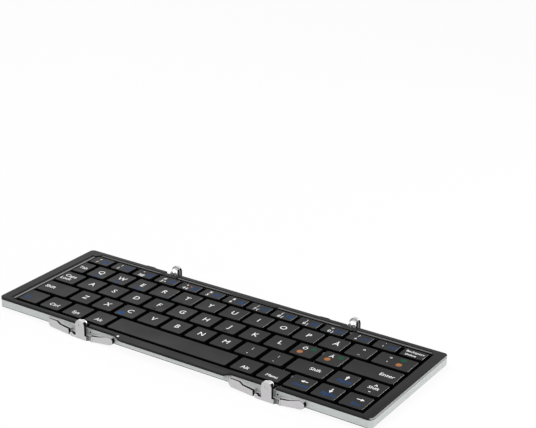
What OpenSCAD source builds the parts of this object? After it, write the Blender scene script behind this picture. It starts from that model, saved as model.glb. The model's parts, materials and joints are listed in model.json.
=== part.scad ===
// Folding keyboard in three sections. The two wings turn up and over onto the centre section.
// Millimetres. Origin on the table below the middle of the keyboard, +X right, +Y back, +Z up.

/* [Body] */
// Length of the open keyboard, left end to right end
board_w = 250.5; // [240:0.5:262]
// Depth of the keyboard without its hinges
board_d = 84.5; // [80:0.5:90]
// Radius of the four outer corners, seen from above
corner_r = 3.2; // [2:0.1:6]
// Height of the rubber feet
foot_h = 1.4; // [0.8:0.1:2]
// Height of the metal base, from its bottom face to the rim of the deck
base_h = 5.15; // [4.9:0.05:6]
// Thickness of the base's side walls
wall_t = 1.2; // [0.8:0.1:1.4]
// Thickness of the base's floor
floor_t = 0.6; // [0.4:0.1:0.8]
// Bevel along the base's bottom edges
base_bevel = 1.0; // [0.3:0.1:1]
// Thickness of the deck's rim
deck_t = 1.35; // [1:0.05:2]
// Bevel along the deck's upper edges
deck_bevel = 0.2; // [0.1:0.1:0.6]
// Gap between two sections at a seam
seam_gap = 0.4; // [0.3:0.05:0.5]

/* [Centre lip] */
// How far the centre section's front edge stands out past the wings
lip_out = 3.15; // [2:0.05:3.4]
// Height of the base's part of the lip
lip_h = 2.05; // [1.5:0.05:2.5]
// From the end of the left hinge's arm to the lip's full depth
lip_from_left_arm = 6.8; // [5:0.1:8]
// From the lip's full depth to the end of the right hinge's arm
lip_from_right_arm = 1.5; // [1:0.1:6]
// How far the base's part of the lip stays behind the deck's part
lip_step = 0.3; // [0.1:0.05:0.6]
// Length of the curve at the lip's left end
lip_left_run = 8.5; // [7:0.5:9]
// Length of the curve at the lip's right end
lip_right_run = 4.5; // [3:0.5:5]

/* [Keys] */
// Plain border between the left end and the first key space
border_left = 9.2; // [7:0.05:11]
// Plain border between the last key space and the right end
border_right = 7.22; // [6:0.01:10]
// Border between the front edge and the front row
border_front = 3.05; // [2.9:0.05:4]
// Border between the back row and the back edge
border_back = 5.85; // [5:0.05:7]
// Depth of the shorter back row
back_row_d = 11.4; // [10:0.1:13]
// Gap between neighbouring key caps
key_gap = 1.5; // [1:0.1:2]
// Corner radius of a key cap
key_r = 1.0; // [0.5:0.1:1.5]
// Height of a key cap
key_h = 1.8; // [1.5:0.1:2.2]
// Thickness of a key cap's top
key_top_t = 0.8; // [0.6:0.1:0.9]
// Thickness of a key cap's sides
key_wall_t = 0.9; // [0.6:0.1:1.2]
// How far the key tops stand above the deck
key_rise = 0.25; // [0:0.05:0.6]
// Travel of a key
key_travel = 1.2; // [0.8:0.1:1.3]
// Radius of the plunger below each key cap
plunger_r = 1.5; // [1.2:0.1:1.8]
// Sliding clearance round a plunger
plunger_fit = 0.1; // [0.05:0.01:0.15]
// Wall of the guide collar round a plunger
collar_t = 0.9; // [0.6:0.1:1.1]

/* [Key field] */
// Gap between the key spaces and the wall of the deck's opening
field_margin = 0.4; // [0.2:0.05:0.6]
// Gap between the last key space and the opening's right wall
right_margin = 0.7; // [0:0.1:1]
// Width of the gutter along the opening's left wall
left_gutter_w = 0.8; // [0.2:0.1:1.2]
// Width of the gutter along the opening's back wall
back_gutter_w = 1.7; // [0.2:0.1:2]
// Depth of both gutters
gutter_h = 1.0; // [0.8:0.1:1.1]
// Width of the sloped ledge behind the left gutter
left_ledge_w = 2.1; // [1:0.1:2.6]
// Width of the sloped ledge behind the back gutter
back_ledge_w = 0.8; // [0.4:0.1:1]
// Depth of a ledge's foot below the deck
ledge_h = 0.8; // [0.6:0.1:0.8]
// Step down from the deck to a ledge's head
ledge_step = 0.4; // [0.1:0.1:0.5]
// Thickness of the guide plate below the keys
guide_t = 1.0; // [0.9:0.1:1.2]
// Thickness of the switch panel below the guide plate
panel_t = 0.6; // [0.5:0.1:0.7]
// Height of a contact dome when it is pressed
dome_h = 0.25; // [0.2:0.05:0.3]
// Radius of a contact dome
dome_r = 2.2; // [1.8:0.1:2.4]

/* [Hinges] */
// Gap between facing key tops when a wing is folded
fold_gap = 1.1; // [0.8:0.1:2]
// Radius of a hinge ear round its pin
ear_r = 3.2; // [2.8:0.1:3.4]
// How far the hinges stand out from the front and back sides
hinge_out = 3.5; // [3.4:0.1:4]
// Thickness of the inner ear
inner_ear_t = 1.25; // [1:0.05:1.4]
// Gap between the side of the base and the hinge's moving metal
side_gap = 0.4; // [0.3:0.05:0.5]
// Gap between the two ears
ear_gap = 0.2; // [0.15:0.05:0.25]
// Height of the hinge's foot above the table
hinge_clear = 0.2; // [0.1:0.05:0.5]
// How far the pins stand right of the middle of their seam
hinge_shift = 1.1; // [0:0.1:1.4]
// Reach of the plain leaf's arm from the pin
arm_reach = 26.8; // [20:0.2:28]
// Reach of the hook leaf's arm from the pin
hook_arm_reach = 22.3; // [20:0.1:24]
// Gap between the stop hook and the arm that meets it
stop_gap = 0.6; // [0.3:0.1:1.4]
// Radius of the hinge pin
pin_r = 1.0; // [0.8:0.05:1.3]
// Radius of the pin's domed head
pin_head_r = 2.1; // [1.7:0.1:2.2]
// Height of the pin's domed head
pin_head_h = 2.0; // [1.5:0.1:2.1]

/* [Inside] */
// Thickness of the battery cell
battery_t = 1.3; // [1:0.05:1.4]
// Length of the battery cell
battery_w = 56; // [40:1:58]
// Depth of the battery cell
battery_d = 38; // [30:1:40]
// Thickness of the circuit board
board_t = 0.8; // [0.6:0.1:1]
// Radius of a screw's head
screw_head_r = 1.2; // [1:0.1:1.3]
// Radius of a screw's shank
screw_r = 0.6; // [0.5:0.05:0.8]
// Radius of a screw boss
boss_r = 2.0; // [1.6:0.1:2.4]
// Radius of a rubber foot
foot_r = 4.5; // [3:0.5:6]

/* [Hidden] */

$fn = 48;
// Overshoot of a cut past the face that it opens
cut = 0.5;

// Heights above the table
base_z = foot_h;
floor_z = base_z + floor_t;
rim_z = base_z + base_h;
deck_z = rim_z + deck_t;
key_z = deck_z + key_rise;
cap_z = key_z - key_h;
roof_z = key_z - key_top_t;
// The guide plate stops a pressed key cap
stop_play = 0.05;
guide_z = cap_z - key_travel - stop_play;
panel_z = guide_z - guide_t;
pit_z = panel_z - panel_t;
axis_z = key_z + fold_gap / 2;
lip_z = rim_z - lip_h;
// A pressed plunger just touches its dome
plunger_z = panel_z + dome_h + stop_play + key_travel;
// A collar ends just below the roof of a pressed cap
collar_play = 0.15;
collar_z = roof_z - key_travel - collar_play;

// Key grid: rows count from the front, columns in key units from the left
ROWS = 5;
COLUMNS = 14;
unit = (board_w - border_left - border_right) / COLUMNS;
row_d = (board_d - border_front - border_back - back_row_d) / (ROWS - 1);
grid_x = -board_w / 2 + border_left;
grid_y = -board_d / 2 + border_front;
function col_x(c) = grid_x + c * unit;
function row_y(r) = grid_y + min(r, ROWS - 1) * row_d + max(0, r - ROWS + 1) * back_row_d;

// Key spaces of each section: row, then the columns where its keys meet
LEFT_KEYS = [
    [0, [0, 1, 2, 3]], [1, [0, 1.5, 2.5, 3.5]], [2, [0, 1, 2, 3]],
    [3, [0, 0.65, 1.6, 2.55, 3.5]], [4, [0, 1, 2, 3]]
];
CENTRE_KEYS = [
    [0, [3, 4, 9, 10, 11]], [1, [for (c = [3.5:10.5]) c]], [2, [for (c = [3:11]) c]],
    [3, [for (c = [3.5:10.5]) c]], [4, [for (c = [3:11]) c]]
];
RIGHT_KEYS = [
    [0, [11, 12, 13, 14]], [1, [10.5, 12, 13, 14]], [2, [11, 12, 14]],
    [3, [10.5, 11.5, 12.5, 14]], [4, [11, 12, 13, 14]]
];

// Columns of the seams, row by row from the front, and the pin lines near the middle of each seam
LEFT_SEAM = [3, 3.5, 3, 3.5, 3];
RIGHT_SEAM = [11, 10.5, 11, 10.5, 11];
left_x = col_x((LEFT_SEAM[0] + LEFT_SEAM[1]) / 2) + hinge_shift;
right_x = col_x((RIGHT_SEAM[0] + RIGHT_SEAM[1]) / 2) + hinge_shift;
notch_w = pin_head_r + 1.4;
notch_past_seam = 1;
notch_fit = 0.15;
notch_below_rim = 0.6;

// Screw places: column, row
LEFT_SCREWS = [[0.5, 0], [2.5, 0], [0.5, 4], [2.5, 4]];
CENTRE_SCREWS = [[3.5, 0], [10.5, 0], [3.5, 4], [6.5, 4], [10.5, 4]];
RIGHT_SCREWS = [[11.5, 0], [13.5, 0], [11.5, 4], [13.5, 4]];
screw_from_collar = 0.6;
screw_shift = plunger_r + plunger_fit + collar_t + screw_head_r + screw_from_collar;
screw_head_h = 0.5;
screw_fit = 0.1;
screw_slot_w = 0.3;
screw_bite = 0.02;
boss_floor = 1.0;

// Feet: distance from the ends and from the front and back sides
foot_in_x = 12.25;
foot_in_y = 9;
foot_from_seam = 14;

// Charging indicator
lens_r = 0.75;
lens_fit = 0.05;

// Half the length of the stretch of the back wall that has no sloped ledge
ledge_break = 16.5;

// Arms of the hinges, measured from the pin's line: an arm widens at its shoulder
plain_near_x = ear_r + 5.05;
hook_near_x = ear_r + 4.7;
arm_low_z = 0.7;
arm_top_z = 4.1;
arm_far_low_z = 1.6;
arm_below_rim = 0.15;
arm_far_top_z = rim_z - arm_below_rim;
arm_far_r = (arm_far_top_z - arm_far_low_z) / 2;
arm_top_slope = 0.12;
plain_shoulder = [6.9, 9.0];
hook_shoulder = [5.2, 11.0];
arm_taper = 1.3;
arm_ramp = 4;
arm_round = 0.8;
foot_top_z = 2.9;
foot_overlap = 0.8;
post_t = side_gap + inner_ear_t + ear_gap;
link_low_z = 0.9;
link_top_z = 2.6;
link_x = ear_r + 1.6;
knob_r = 1.35;
hook_hollow_z = 1.95;
inner_ear_r = 2.4;
neck_r = 1.7;
neck_depth = 1.1;
neck_from_arm = 1.8;
bore_fit = 0.05;
rivet_fit = 0.02;
pin_play = 0.1;

// Lip of the centre section: its base part keeps clear of the arms
lip_left = -(left_x + hook_arm_reach + lip_from_left_arm);
lip_right = right_x - arm_reach - lip_from_right_arm;
lip_arm_gap = 0.4;
base_lip_left_run = lip_from_left_arm - lip_arm_gap;
base_lip_right_run = lip_from_right_arm - lip_arm_gap;
lens_x = -lip_left - 4.1;
lens_y = -board_d / 2 - 0.45;

// Pin holes in the base's side, right of each front hinge
side_hole_r = 0.5;
side_hole_depth = 0.7;
side_hole_x = 4.8;
side_hole_z = 4.3;

metal = [0.78, 0.79, 0.78];
zinc = [0.74, 0.74, 0.73];
black = [0.2, 0.2, 0.21];

// Outline pieces

// Rectangle between two corners, with its own corner radius
module round_rect(x1, y1, x2, y2, r) {
    translate([x1 + r, y1]) square([x2 - x1 - 2 * r, y2 - y1]);
    translate([x1, y1 + r]) square([x2 - x1, y2 - y1 - 2 * r]);
    for (x = [x1 + r, x2 - r], y = [y1 + r, y2 - r])
        translate([x, y]) circle(r);
}

// The whole board, drawn in by inset on every side
module board_shape(inset) {
    half_w = board_w / 2 - inset;
    half_d = board_d / 2 - inset;
    round_rect(-half_w, -half_d, half_w, half_d, max(corner_r - inset, 0.4));
}

// Points of a seam from front to back. side is -1 for the section on its left, 1 for the one on its right.
function seam_points(columns, side, inset) = [
    for (r = [0:ROWS - 1], last = [0, 1])
        let(
            turn = last == 1 ? r + 1 : r,
            outside = turn == 0 || turn == ROWS,
            step = outside ? 0 : sign(columns[turn] - columns[turn - 1]),
            edge = turn == 0 ? -board_d : turn == ROWS ? board_d : row_y(turn)
        )
        [col_x(columns[r]) + side * inset, edge - side * inset * step]
];

function reversed(points) = [for (i = [len(points) - 1:-1:0]) points[i]];

// Section outlines. 0 is the left wing, 1 the centre, 2 the right wing.
LEFT = 0;
CENTRE = 1;
RIGHT = 2;
module section_zone(section, inset) {
    gap = seam_gap / 2 + inset;
    if (section == LEFT)
        polygon(concat(
            [[-board_w, board_d], [-board_w, -board_d]],
            seam_points(LEFT_SEAM, -1, gap)));
    if (section == CENTRE)
        polygon(concat(
            reversed(seam_points(LEFT_SEAM, 1, gap)),
            seam_points(RIGHT_SEAM, -1, gap)));
    if (section == RIGHT)
        polygon(concat(
            [[board_w, board_d], [board_w, -board_d]],
            seam_points(RIGHT_SEAM, 1, gap)));
}

module section_shape(section, inset = 0) {
    intersection() {
        board_shape(inset);
        section_zone(section, inset);
    }
}

// Opening of the deck round all the keys, grown by extra
module field_shape(extra = 0) {
    x1 = col_x(0) - field_margin - extra;
    x2 = col_x(COLUMNS) + right_margin + extra;
    y1 = row_y(0) - field_margin - extra;
    y2 = row_y(ROWS) + field_margin + extra;
    translate([x1, y1]) square([x2 - x1, y2 - y1]);
}

// Smooth step from 0 to 1
function ease(t) = (1 - cos(180 * t)) / 2;

// Front lip of the centre section between the two front hinges
module lip_shape(left_run, right_run, out) {
    front = -board_d / 2;
    steps = 10;
    polygon(concat(
        [[-lip_left - left_run, front + 1]],
        [for (i = [0:steps]) [-lip_left - left_run * (1 - i / steps), front - out * ease(i / steps)]],
        [for (i = [0:steps]) [lip_right + right_run * i / steps, front - out * ease(1 - i / steps)]],
        [[lip_right + right_run, front + 1]]));
}

// Extrude between two heights
module slab(z1, z2) {
    translate([0, 0, z1]) linear_extrude(z2 - z1) children();
}

// Square bars on edge, which bevel the long edges and the ends of the board at one height
module edge_bevel(z, size) {
    side = size * sqrt(2);
    for (y = [-board_d / 2, board_d / 2])
        translate([0, y, z]) rotate([45, 0, 0]) cube([2 * board_w, side, side], center = true);
    for (x = [-board_w / 2, board_w / 2])
        translate([x, 0, z]) rotate([0, 45, 0]) cube([side, 2 * board_d, side], center = true);
}

function seam_pins(section) = section == LEFT ? [left_x] : section == RIGHT ? [right_x] : [left_x, right_x];
function section_keys(section) = section == LEFT ? LEFT_KEYS : section == RIGHT ? RIGHT_KEYS : CENTRE_KEYS;
function section_screws(section) =
    section == LEFT ? LEFT_SCREWS : section == RIGHT ? RIGHT_SCREWS : CENTRE_SCREWS;

// Notches in the rim of the centre section that clear the heads of the hinge pins
module pin_notches(z) {
    seam_left = col_x(LEFT_SEAM[0]) - notch_past_seam;
    seam_right = col_x(RIGHT_SEAM[0]) + notch_past_seam;
    notch_y = board_d / 2 - pin_head_h - notch_fit;
    for (side = [-1, 1], x = [[seam_left, left_x + notch_w], [right_x - notch_w, seam_right]])
        translate([x[0], side > 0 ? notch_y : -notch_y - board_d, z])
            cube([x[1] - x[0], board_d, deck_z]);
}

// Screw centres of a section
module at_screws(section) {
    for (place = section_screws(section))
        translate([col_x(place[0]) + screw_shift, (row_y(place[1]) + row_y(place[1] + 1)) / 2, 0])
            children();
}

// Small blind holes in the front side, right of each hinge
module side_holes() {
    for (x = [left_x, right_x])
        translate([x + side_hole_x, side_hole_depth - board_d / 2, side_hole_z])
            rotate([90, 0, 0]) cylinder(r = side_hole_r, h = side_hole_depth + cut);
}

// Base: one shell a section, with a floor, side walls, screw bosses and bevelled bottom edges
module base(section) {
    difference() {
        union() {
            slab(base_z, rim_z) section_shape(section);
            if (section == CENTRE)
                slab(lip_z, rim_z)
                    lip_shape(base_lip_left_run, base_lip_right_run, lip_out - lip_step);
        }
        slab(floor_z, rim_z + cut) section_shape(section, wall_t);
        // The seam walls end below the keys
        slab(guide_z, rim_z + cut) intersection() {
            field_shape();
            section_zone(section, -2);
        }
        edge_bevel(base_z, base_bevel);
        if (section != LEFT)
            side_holes();
        if (section == CENTRE) {
            pin_notches(rim_z - notch_below_rim);
            socket_window();
        }
    }
    difference() {
        at_screws(section) slab(floor_z, pit_z) circle(boss_r);
        at_screws(section) slab(base_z + boss_floor, pit_z + cut) circle(screw_r);
    }
}
module left_base() { color(metal) base(LEFT); }
module centre_base() { color(metal) base(CENTRE); }
module right_base() { color(metal) base(RIGHT); }

// Deck: the black rim round the keys, with a skirt that stands on the guide plate
skirt_t = 1.0;
skirt_fit = 0.1;
ledge_from_corner = 1.0;
ledge_from_seam = 1.5;
module deck_outline(section) {
    section_shape(section);
    if (section == CENTRE)
        lip_shape(lip_left_run, lip_right_run, lip_out);
}
// Cut of a gutter and a sloped ledge, seen along the wall of the opening that they run on
module ledge_profile(gutter_w, ledge_w) {
    head = gutter_w + ledge_w;
    polygon([
        [-cut, -gutter_h], [gutter_w, -gutter_h], [gutter_w, -ledge_h],
        [head, -ledge_step], [head, cut], [-cut, cut]
    ]);
}
// Ledge along the back wall from x1 to x2
module back_ledge(x1, x2) {
    translate([x1, row_y(ROWS) + field_margin, deck_z]) rotate([90, 0, 90]) linear_extrude(x2 - x1)
        ledge_profile(back_gutter_w, back_ledge_w);
}
module left_ledge() {
    translate([col_x(0) - field_margin, row_y(ROWS) - ledge_from_corner, deck_z]) rotate([90, 0, 0])
        linear_extrude(row_y(ROWS) - row_y(0) - 2 * ledge_from_corner)
            mirror([1, 0]) ledge_profile(left_gutter_w, left_ledge_w);
}
module deck(section) {
    difference() {
        union() {
            slab(rim_z, deck_z) deck_outline(section);
            slab(guide_z, rim_z) intersection() {
                section_shape(section, wall_t + skirt_fit);
                difference() {
                    field_shape(skirt_t);
                    field_shape();
                }
            }
        }
        slab(guide_z - cut, deck_z + cut) field_shape();
        difference() {
            edge_bevel(deck_z, deck_bevel);
            if (section == CENTRE)
                slab(rim_z, deck_z + cut) lip_shape(lip_left_run, lip_right_run, lip_out);
        }
        if (section == CENTRE) {
            pin_notches(rim_z - cut);
            back_ledge(left_x + notch_w + ledge_from_seam, -ledge_break);
            back_ledge(ledge_break, right_x - notch_w - ledge_from_seam);
            translate([lens_x, lens_y, 0]) slab(rim_z - cut, deck_z + cut) circle(lens_r);
        }
        if (section == LEFT) {
            left_ledge();
            back_ledge(col_x(0) + ledge_from_corner, col_x(LEFT_SEAM[0]) - ledge_from_seam);
        }
        if (section == RIGHT)
            back_ledge(col_x(RIGHT_SEAM[0]) + ledge_from_seam, col_x(COLUMNS) - ledge_from_corner);
    }
}
module left_deck() { color(black) deck(LEFT); }
module centre_deck() { color(black) deck(CENTRE); }
module right_deck() { color(black) deck(RIGHT); }

// Charging indicator in the lip of the centre deck
module indicator_lens() {
    color("white") translate([lens_x, lens_y, 0])
        slab(rim_z, deck_z + lens_fit) circle(lens_r - lens_fit);
}

// Plungers of a key space: one in the middle, or two below a long key
function plungers(a, b) =
    let(middle = (col_x(a) + col_x(b)) / 2, reach = (b - a) * unit * 0.3)
    (b - a) > 3 ? [middle - reach, middle + reach] : [middle];

module at_plungers(section) {
    for (row = section_keys(section), i = [0:len(row[1]) - 2])
        for (x = plungers(row[1][i], row[1][i + 1]))
            translate([x, (row_y(row[0]) + row_y(row[0] + 1)) / 2, 0]) children();
}

// Guide plate: the dark floor below the keys, with a collar round each plunger and room for its dome
dome_room = 0.15;
module guide_plate(section) {
    difference() {
        union() {
            slab(panel_z, guide_z) section_shape(section, wall_t + skirt_fit);
            at_plungers(section) slab(guide_z, collar_z) circle(plunger_r + plunger_fit + collar_t);
        }
        at_plungers(section) slab(panel_z - cut, collar_z + cut) circle(plunger_r + plunger_fit);
        at_plungers(section) slab(panel_z - cut, panel_z + dome_h + dome_room) circle(dome_r + dome_room);
        at_screws(section) slab(panel_z - cut, guide_z + cut) circle(screw_r + screw_fit);
        if (section == CENTRE)
            socket_room();
    }
}
module left_guide_plate() { color("dimgray") guide_plate(LEFT); }
module centre_guide_plate() { color("dimgray") guide_plate(CENTRE); }
module right_guide_plate() { color("dimgray") guide_plate(RIGHT); }

// Switch panel: a stiff sheet with a contact dome below each plunger
module switch_panel(section) {
    difference() {
        union() {
            slab(pit_z, panel_z) section_shape(section, wall_t + skirt_fit);
            at_plungers(section) slab(panel_z, panel_z + dome_h) circle(dome_r);
        }
        at_screws(section) slab(pit_z - cut, panel_z + cut) circle(screw_r + screw_fit);
        if (section == CENTRE)
            socket_room();
    }
}
module left_switch_panel() { color("olivedrab") switch_panel(LEFT); }
module centre_switch_panel() { color("olivedrab") switch_panel(CENTRE); }
module right_switch_panel() { color("olivedrab") switch_panel(RIGHT); }

// Screws that hold guide plate and switch panel down on the bosses
module screws(section) {
    at_screws(section) {
        slab(base_z + boss_floor + screw_fit, guide_z) circle(screw_r - screw_bite);
        difference() {
            slab(guide_z, guide_z + screw_head_h) circle(screw_head_r);
            slab(guide_z + screw_head_h / 2, guide_z + screw_head_h + cut)
                square([screw_head_r * 1.2, screw_slot_w], center = true);
        }
    }
}
module left_screws() { color("silver") screws(LEFT); }
module centre_screws() { color("silver") screws(CENTRE); }
module right_screws() { color("silver") screws(RIGHT); }

// Rubber feet
module feet(xs) {
    for (x = xs, y = [-board_d / 2 + foot_in_y, board_d / 2 - foot_in_y])
        translate([x, y, 0]) slab(0, foot_h) circle(foot_r);
}
module left_feet() { color("dimgray") feet([-board_w / 2 + foot_in_x]); }
module centre_feet() {
    color("dimgray") feet([left_x + foot_from_seam, right_x - foot_from_seam]);
}
module right_feet() { color("dimgray") feet([board_w / 2 - foot_in_x]); }

// Circuit board with its chips and a connector for each flex cable
board_x1 = -50;
board_x2 = -12;
board_y = 20;
board_hole_r = 1.1;
board_hole_in = 3;
chip_t = 0.5;
// Chips: corner, then size
CHIPS = [[[-40, -8], [8, 8]], [[-24, 2], [6, 5]], [[-38, 8], [4, 3]]];
module circuit_board() {
    color("darkgreen") difference() {
        slab(floor_z, floor_z + board_t) translate([board_x1, -board_y])
            square([board_x2 - board_x1, 2 * board_y]);
        for (y = [-board_y + board_hole_in, board_y - board_hole_in])
            translate([board_x1 + board_hole_in, y, 0])
                slab(floor_z - cut, floor_z + board_t + cut) circle(board_hole_r);
    }
    for (chip = CHIPS)
        color("black") translate(chip[0])
            slab(floor_z + board_t, floor_z + board_t + chip_t) square(chip[1]);
}

// Flat battery cell with its sealed edge
battery_x = -8;
battery_r = 1.5;
seal_t = 0.2;
seal_w = 3;
seal_in = 2;
module battery_cell() {
    color("silver") slab(floor_z, floor_z + battery_t)
        round_rect(battery_x, -battery_d / 2, battery_x + battery_w, battery_d / 2, battery_r);
    color("gray") slab(floor_z + (battery_t - seal_t) / 2, floor_z + (battery_t + seal_t) / 2)
        translate([battery_x + battery_w, -battery_d / 2 + seal_in])
            square([seal_w, battery_d - 2 * seal_in]);
}

// Flex cable of a wing, lying on the floor of its base
flex_t = 0.3;
flex_w = 8;
flex_from_end = 10;
flex_from_pin = 8;
module flex_cable(x1, x2) {
    color("orange") slab(floor_z, floor_z + flex_t)
        translate([x1, -flex_w / 2]) square([x2 - x1, flex_w]);
}
module left_flex_cable() { flex_cable(-board_w / 2 + flex_from_end, left_x - flex_from_pin); }
module right_flex_cable() { flex_cable(right_x + flex_from_pin, board_w / 2 - flex_from_end); }

// Charging socket in the back wall of the centre base
socket_w = 7.5;
socket_h = 2.3;
socket_d = 5;
socket_x = 1;
socket_wall = 0.3;
socket_z = floor_z;
socket_fit = 0.1;
socket_in = 0.1;
tongue_t = 0.6;
tongue_in = 1.2;
module socket_window() {
    translate([socket_x - socket_w / 2 - socket_fit, board_d / 2 - wall_t - cut, socket_z - socket_fit])
        cube([socket_w + 2 * socket_fit, wall_t + 2 * cut, socket_h + 2 * socket_fit]);
}
// Room for the socket below the guide plate
module socket_room() {
    room_w = socket_w + 4 * socket_fit;
    translate([socket_x - room_w / 2, board_d / 2 - socket_in - socket_d - 2 * socket_fit, socket_z])
        cube([room_w, socket_d + 1, socket_h + socket_fit]);
}
module charging_socket() {
    back = board_d / 2 - socket_in;
    color("silver") translate([socket_x - socket_w / 2, back - socket_d, socket_z]) difference() {
        cube([socket_w, socket_d, socket_h]);
        translate([socket_wall, socket_wall, socket_wall])
            cube([socket_w - 2 * socket_wall, socket_d, socket_h - 2 * socket_wall]);
    }
    color("black")
        translate([socket_x - socket_w / 4, back - socket_d + socket_wall,
                socket_z + (socket_h - tongue_t) / 2])
            cube([socket_w / 2, socket_d - socket_wall - tongue_in, tongue_t]);
}

// Hinges: profiles in X and Z round the pin's line, given their thickness away from the side of the base
module plate(t1, t2) {
    rotate([90, 0, 0]) translate([0, 0, t1]) linear_extrude(t2 - t1) children();
}

// Front hinges stand on the front side; the back ones are their mirror image
module at_hinge(x, back) {
    mirror([0, back ? 1 : 0, 0]) translate([x, -board_d / 2, 0]) children();
}

// Arm from near the pin to its round far end, towards +X. shoulder: where it starts and ends to widen.
module arm_profile(near_x, reach, shoulder) {
    far_x = reach - arm_far_r;
    shoulder_x = near_x + shoulder[0];
    polygon([
        [near_x, arm_low_z], [far_x, arm_far_low_z], [far_x, arm_far_top_z],
        [near_x + shoulder[1], arm_far_top_z],
        [shoulder_x, arm_top_z + shoulder[0] * arm_top_slope], [near_x, arm_top_z]]);
    translate([far_x, arm_far_low_z + arm_far_r]) circle(arm_far_r);
}

// Leaf with the outer ear: a post on a foot, a stop hook towards -X and an arm towards +X
module hook_leaf() {
    knob_x = -plain_near_x + stop_gap + knob_r;
    difference() {
        union() {
            plate(post_t, hinge_out) {
                translate([-ear_r, hinge_clear]) square([2 * ear_r, axis_z - hinge_clear]);
                translate([0, axis_z]) circle(ear_r);
                translate([knob_x, hinge_clear + knob_r]) circle(knob_r);
                translate([knob_x, hinge_clear]) square([-knob_x, hook_hollow_z - hinge_clear]);
            }
            plate(side_gap, hinge_out) polygon([
                [ear_r - foot_overlap, hinge_clear], [hook_near_x - 1, hinge_clear],
                [hook_near_x + 1, arm_low_z], [hook_near_x + 1, arm_top_z],
                [hook_near_x, arm_top_z], [hook_near_x, foot_top_z], [ear_r - foot_overlap, foot_top_z]]);
            difference() {
                plate(0, hinge_out) arm_profile(hook_near_x, hook_arm_reach, hook_shoulder);
                // The outer face draws in towards the far end
                translate([0, -hinge_out, -cut]) linear_extrude(axis_z)
                    polygon([
                        [hook_near_x, 0], [hook_near_x, -cut],
                        [hook_arm_reach + cut, -cut], [hook_arm_reach + cut, arm_taper]]);
            }
        }
        // Hollow of the neck
        translate([hook_near_x - neck_from_arm, -hinge_out - neck_r + neck_depth, -cut])
            cylinder(r = neck_r, h = foot_top_z + 2 * cut);
        // Bore of the pin, riveted in this ear
        translate([0, 0, axis_z]) plate(0, hinge_out + cut) circle(pin_r + rivet_fit);
    }
}

// Leaf with the inner ear, which turns on the pin, and an arm towards -X
module plain_leaf() {
    mirror([1, 0, 0]) difference() {
        union() {
            plate(side_gap, side_gap + inner_ear_t) {
                translate([0, axis_z]) circle(inner_ear_r);
                // The link runs down behind the post and on behind the stop hook
                polygon([
                    [-inner_ear_r, axis_z], [inner_ear_r, axis_z],
                    [link_x, axis_z - ear_r], [link_x, link_top_z],
                    [plain_near_x + 1, link_top_z], [plain_near_x + 1, link_low_z],
                    [ear_r / 2, link_low_z], [-ear_r / 3, foot_top_z + 1]]);
            }
            intersection() {
                plate(0, hinge_out) arm_profile(plain_near_x, arm_reach, plain_shoulder);
                translate([0, -hinge_out, 0]) linear_extrude(axis_z) {
                    translate([plain_near_x + arm_round, arm_round]) circle(arm_round);
                    polygon([
                        [plain_near_x, arm_round], [plain_near_x + arm_round, 0],
                        [arm_reach - arm_ramp, arm_taper / 2], [arm_reach, hinge_out],
                        [plain_near_x, hinge_out]]);
                }
            }
        }
        translate([0, 0, axis_z]) plate(0, hinge_out + cut) circle(pin_r + bore_fit);
    }
}

// Pin with a domed head on the inner side
module pin() {
    dome = pin_head_h * 0.6;
    dome_sphere_r = (pin_head_r * pin_head_r + dome * dome) / (2 * dome);
    head_t = side_gap - pin_play;
    translate([0, 0, axis_z]) {
        plate(head_t - pin_play, hinge_out - pin_play) circle(pin_r);
        plate(head_t - pin_head_h + dome, head_t) circle(pin_head_r);
        intersection() {
            translate([0, -head_t + pin_head_h - dome_sphere_r, 0]) sphere(dome_sphere_r);
            plate(head_t - pin_head_h - cut, head_t - pin_head_h + dome + pin_play / 10)
                circle(pin_head_r);
        }
    }
}

module left_front_wing_leaf() { color(zinc) at_hinge(left_x, false) plain_leaf(); }
module left_front_centre_leaf() { color(zinc) at_hinge(left_x, false) hook_leaf(); }
module left_front_pin() { color("silver") at_hinge(left_x, false) pin(); }
module left_back_wing_leaf() { color(zinc) at_hinge(left_x, true) plain_leaf(); }
module left_back_centre_leaf() { color(zinc) at_hinge(left_x, true) hook_leaf(); }
module left_back_pin() { color("silver") at_hinge(left_x, true) pin(); }
module right_front_wing_leaf() { color(zinc) at_hinge(right_x, false) hook_leaf(); }
module right_front_centre_leaf() { color(zinc) at_hinge(right_x, false) plain_leaf(); }
module right_front_pin() { color("silver") at_hinge(right_x, false) pin(); }
module right_back_wing_leaf() { color(zinc) at_hinge(right_x, true) hook_leaf(); }
module right_back_centre_leaf() { color(zinc) at_hinge(right_x, true) plain_leaf(); }
module right_back_pin() { color("silver") at_hinge(right_x, true) pin(); }

// Key caps: a hollow cap with a plunger, between two columns of one row
module key_cap(row, a, b) {
    x1 = col_x(a) + key_gap / 2;
    x2 = col_x(b) - key_gap / 2;
    y1 = row_y(row) + key_gap / 2;
    y2 = row_y(row + 1) - key_gap / 2;
    difference() {
        slab(cap_z, key_z) round_rect(x1, y1, x2, y2, key_r);
        slab(cap_z - cut, roof_z) round_rect(
            x1 + key_wall_t, y1 + key_wall_t, x2 - key_wall_t, y2 - key_wall_t,
            max(key_r - key_wall_t, 0.2));
    }
    for (x = plungers(a, b))
        translate([x, (y1 + y2) / 2, 0]) slab(plunger_z, roof_z + 0.1) circle(plunger_r);
}

// Neighbouring keys of one row, from the list of columns where they meet
module keys(row, columns) {
    color(black) for (i = [0:len(columns) - 2])
        key_cap(row, columns[i], columns[i + 1]);
}

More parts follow.
